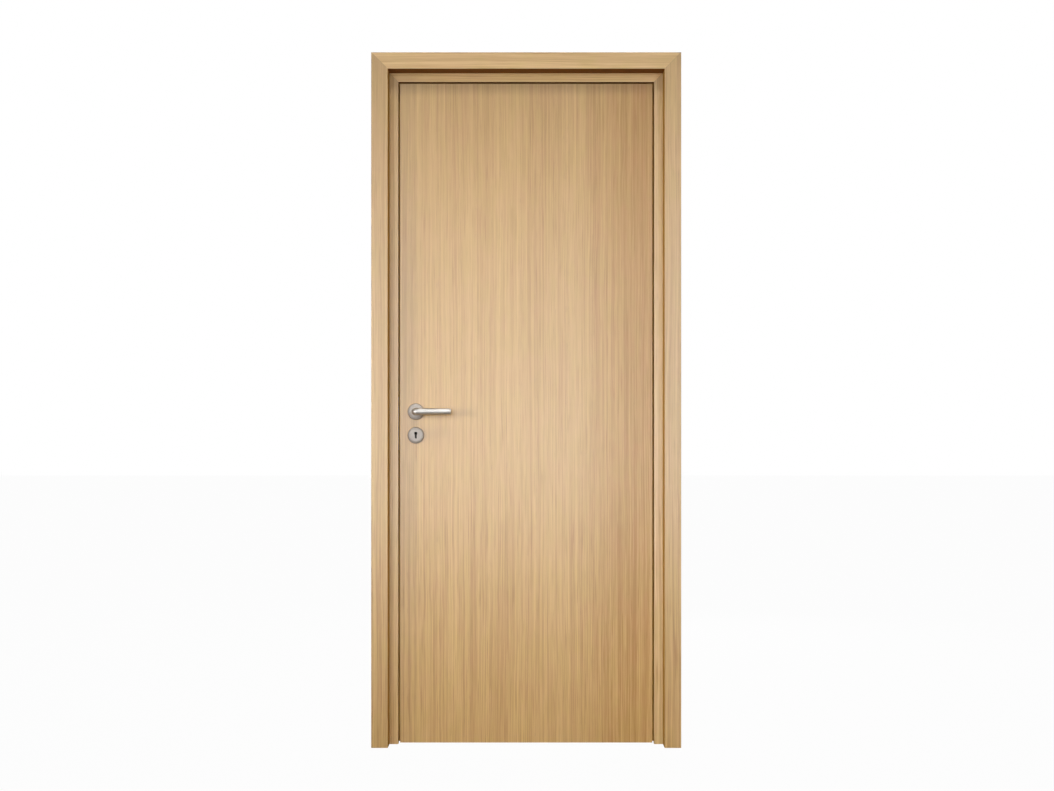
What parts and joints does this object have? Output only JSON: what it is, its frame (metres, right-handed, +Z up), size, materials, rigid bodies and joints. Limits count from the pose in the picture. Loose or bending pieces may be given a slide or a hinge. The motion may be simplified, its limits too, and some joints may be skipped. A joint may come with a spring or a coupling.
{
  "type": "flush hollow core door",
  "caption": "Flush hollow core door in oak veneer: rebated leaf hung on barrel hinges in a mitred frame with casings, lever handle, keyhole rose and mortise lock.",
  "frame": {"origin": "on the flat outer face of the hinge side jamb, where it is screwed to the wall, at floor level and in line with the front faces of leaf and frame", "axes": "+X across the opening towards the wall at the hinge side, +Y through the wall in the direction in which the leaf opens, +Z up"},
  "size_m": [0.972, 0.1585, 2.181],
  "materials": {
    "casing_oak": "oak veneer, matt lacquer",
    "frame_oak": "oak veneer, matt lacquer",
    "leaf_oak": "straight-grained oak veneer, matt lacquer",
    "leaf_edge": "oak edging, matt lacquer",
    "inner_timber": "sawn softwood",
    "core_board": "kraft paper honeycomb",
    "seal": "soft brown sealing strip",
    "handle_metal": "satin anodised",
    "hinge_metal": "satin nickel",
    "lock_metal": "satin nickel"
  },
  "bodies": {
    "frame": {"hinge_jamb": "frame_oak", "lock_jamb": "frame_oak", "head_jamb": "frame_oak", "front_casing_hinge_side": "casing_oak", "front_casing_lock_side": "casing_oak", "front_casing_head": "casing_oak", "back_casing_hinge_side": "casing_oak", "back_casing_lock_side": "casing_oak", "back_casing_head": "casing_oak", "seal_hinge_side": "seal", "seal_lock_side": "seal", "seal_head": "seal", "strike_plate": "lock_metal", "frame_hinge_bottom": "hinge_metal", "frame_hinge_middle": "hinge_metal", "frame_hinge_top": "hinge_metal"},
    "leaf": {"front_skin": "leaf_oak", "back_skin": "leaf_oak", "hinge_stile": "leaf_edge", "lock_stile": "leaf_edge", "top_rail": "leaf_edge", "bottom_rail": "leaf_edge", "lock_block": "inner_timber", "honeycomb_core_bottom": "core_board", "honeycomb_core_middle": "core_board", "honeycomb_core_top": "core_board", "lock_case": "lock_metal", "lock_faceplate": "lock_metal", "latch_bolt": "lock_metal", "dead_bolt": "lock_metal", "front_rose": "handle_metal", "back_rose": "handle_metal", "front_escutcheon": "handle_metal", "back_escutcheon": "handle_metal", "leaf_hinge_bottom": "hinge_metal", "leaf_hinge_middle": "hinge_metal", "leaf_hinge_top": "hinge_metal"},
    "handle": {"front_lever": "handle_metal", "back_lever": "handle_metal", "spindle": "lock_metal"}
  },
  "joints": [
    {"name": "leaf_swing", "type": "hinge", "parent": "frame", "child": "leaf", "pos_m": [-0.034, 0.0485, 1.05], "axis": [0, 0, -1], "range_deg": [0, 170]},
    {"name": "lever_turn", "type": "hinge", "parent": "leaf", "child": "handle", "pos_m": [-0.801, 0.02, 1.055], "axis": [0, 1, 0], "range_deg": [0, 40], "stiffness_Nm_per_rad": 0.8, "springref_deg": -51.57}
  ]
}
